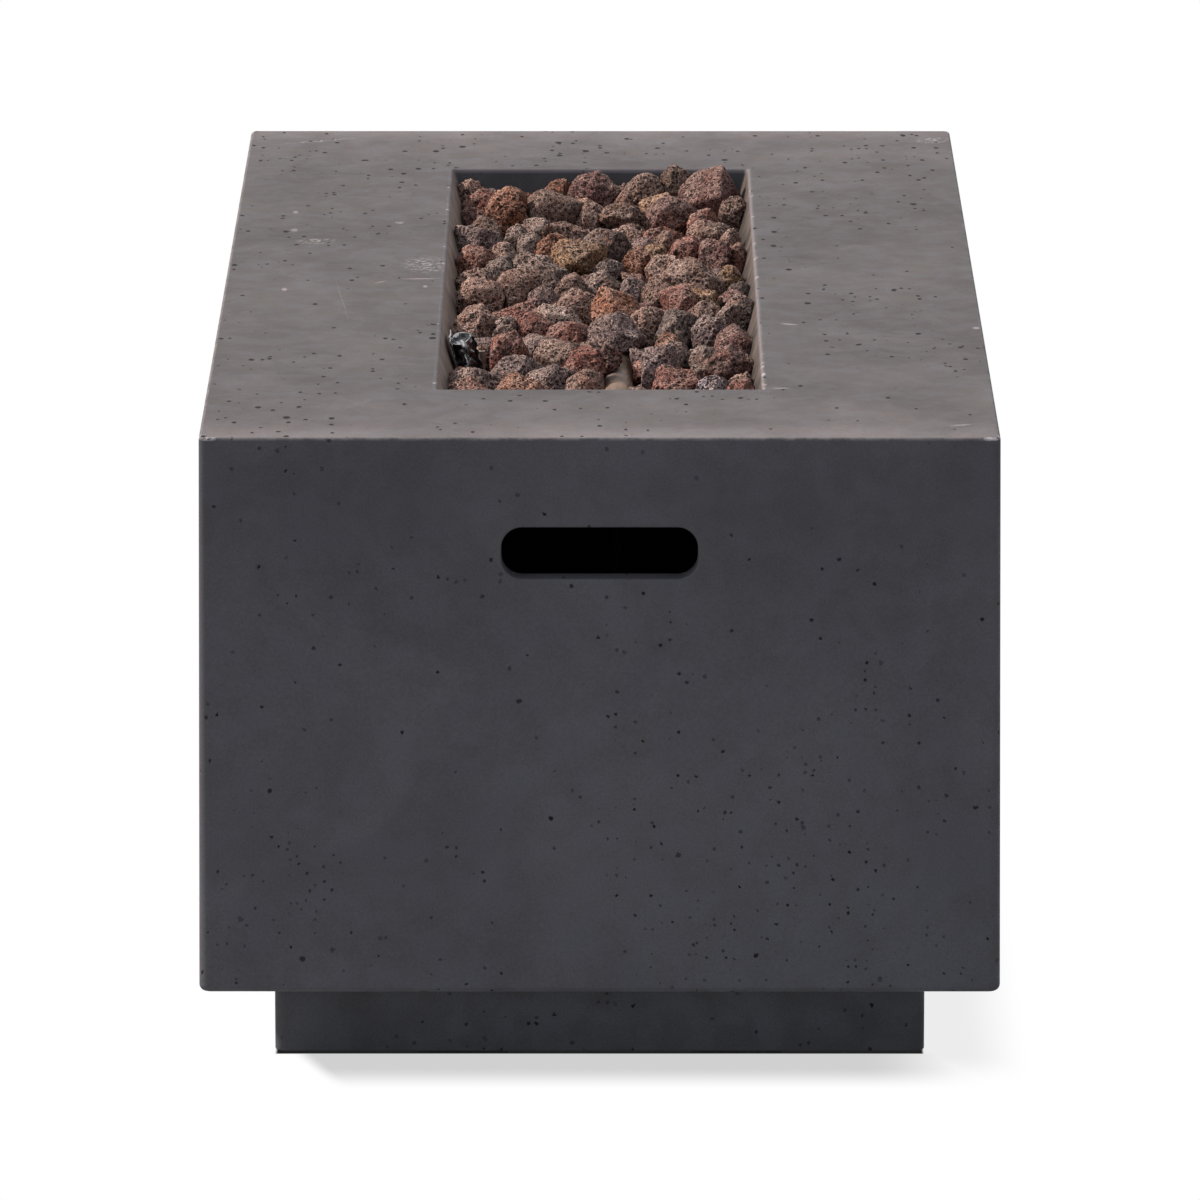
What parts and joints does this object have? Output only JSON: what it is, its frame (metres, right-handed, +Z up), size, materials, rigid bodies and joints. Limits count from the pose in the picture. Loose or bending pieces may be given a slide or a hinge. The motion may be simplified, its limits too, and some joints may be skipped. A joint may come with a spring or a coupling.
{
  "type": "fire pit table",
  "caption": "Rectangular concrete fire pit table with a recessed plinth, hand slots in both ends and a bed of red-brown lava rock over a gas tube burner.",
  "frame": {"origin": "on the floor under the middle of the plinth", "axes": "+Z up, +Y along the length away from the pictured end, +X across the width; the igniter and gas control are on the -X side"},
  "size_m": [0.616, 1.276, 0.51],
  "materials": {
    "concrete": "matte",
    "lava_rock": "matte",
    "galvanized": "satin",
    "stainless": "satin",
    "black_steel": "gloss",
    "frame_paint": "satin",
    "brass": "satin",
    "zinc_screws": "satin",
    "cast_iron": "matte",
    "knob_metal": "satin",
    "black_plastic": "satin",
    "chrome_button": "polished",
    "ceramic_white": "satin",
    "rubber_pad": "matte",
    "copper_lead": "satin",
    "battery_wrap": "gloss"
  },
  "bodies": {
    "root": {"concrete_body": "concrete", "plinth": "concrete", "foot_pads": "rubber_pad", "base_frame": "frame_paint", "frame_screws": "zinc_screws", "frame_screw_inserts": "brass", "plinth_bolts": "zinc_screws", "plinth_bolt_inserts": "brass", "burner_pan": "galvanized", "pan_screws": "zinc_screws", "pan_screw_inserts": "brass", "burner_tube": "stainless", "burner_end_caps": "stainless", "burner_saddles": "galvanized", "saddle_screws": "zinc_screws", "saddle_nuts": "zinc_screws", "pan_locknut": "zinc_screws", "air_mixer": "cast_iron", "gas_orifice": "brass", "control_recess": "galvanized", "control_panel": "stainless", "recess_screws": "zinc_screws", "recess_screw_inserts": "brass", "panel_screws": "zinc_screws", "gas_valve": "brass", "valve_nut": "brass", "gas_inlet_fitting": "brass", "valve_spring": "zinc_screws", "igniter_body": "black_plastic", "igniter_nut": "black_plastic", "button_spring": "zinc_screws", "battery": "battery_wrap", "flame_guard": "black_steel", "guard_screw": "zinc_screws", "guard_nut": "zinc_screws", "electrode_ceramic": "ceramic_white", "spark_electrode": "stainless", "thermocouple": "copper_lead", "gas_tube": "stainless", "igniter_lead": "black_plastic", "thermocouple_lead": "copper_lead", "lava_rocks_upper": "lava_rock", "lava_rocks_lower": "lava_rock"},
    "valve_pusher": {"valve_pusher": "stainless"},
    "control_knob": {"valve_stem": "stainless", "control_knob": "knob_metal"},
    "igniter_button": {"igniter_button": "chrome_button"}
  },
  "joints": [
    {"name": "knob_push", "type": "slide", "parent": "root", "child": "valve_pusher", "axis": [1, 0, 0], "range_m": [0, 0.004], "stiffness_N_per_m": 800, "deforming": ["valve_spring"]},
    {"name": "knob_turn", "type": "hinge", "parent": "valve_pusher", "child": "control_knob", "pos_m": [-0.254, -0.169, 0.29], "axis": [-1, 0, 0], "range_deg": [0, 180]},
    {"name": "igniter_press", "type": "slide", "parent": "root", "child": "igniter_button", "axis": [1, 0, 0], "range_m": [0, 0.004], "stiffness_N_per_m": 600, "deforming": ["button_spring"]}
  ]
}
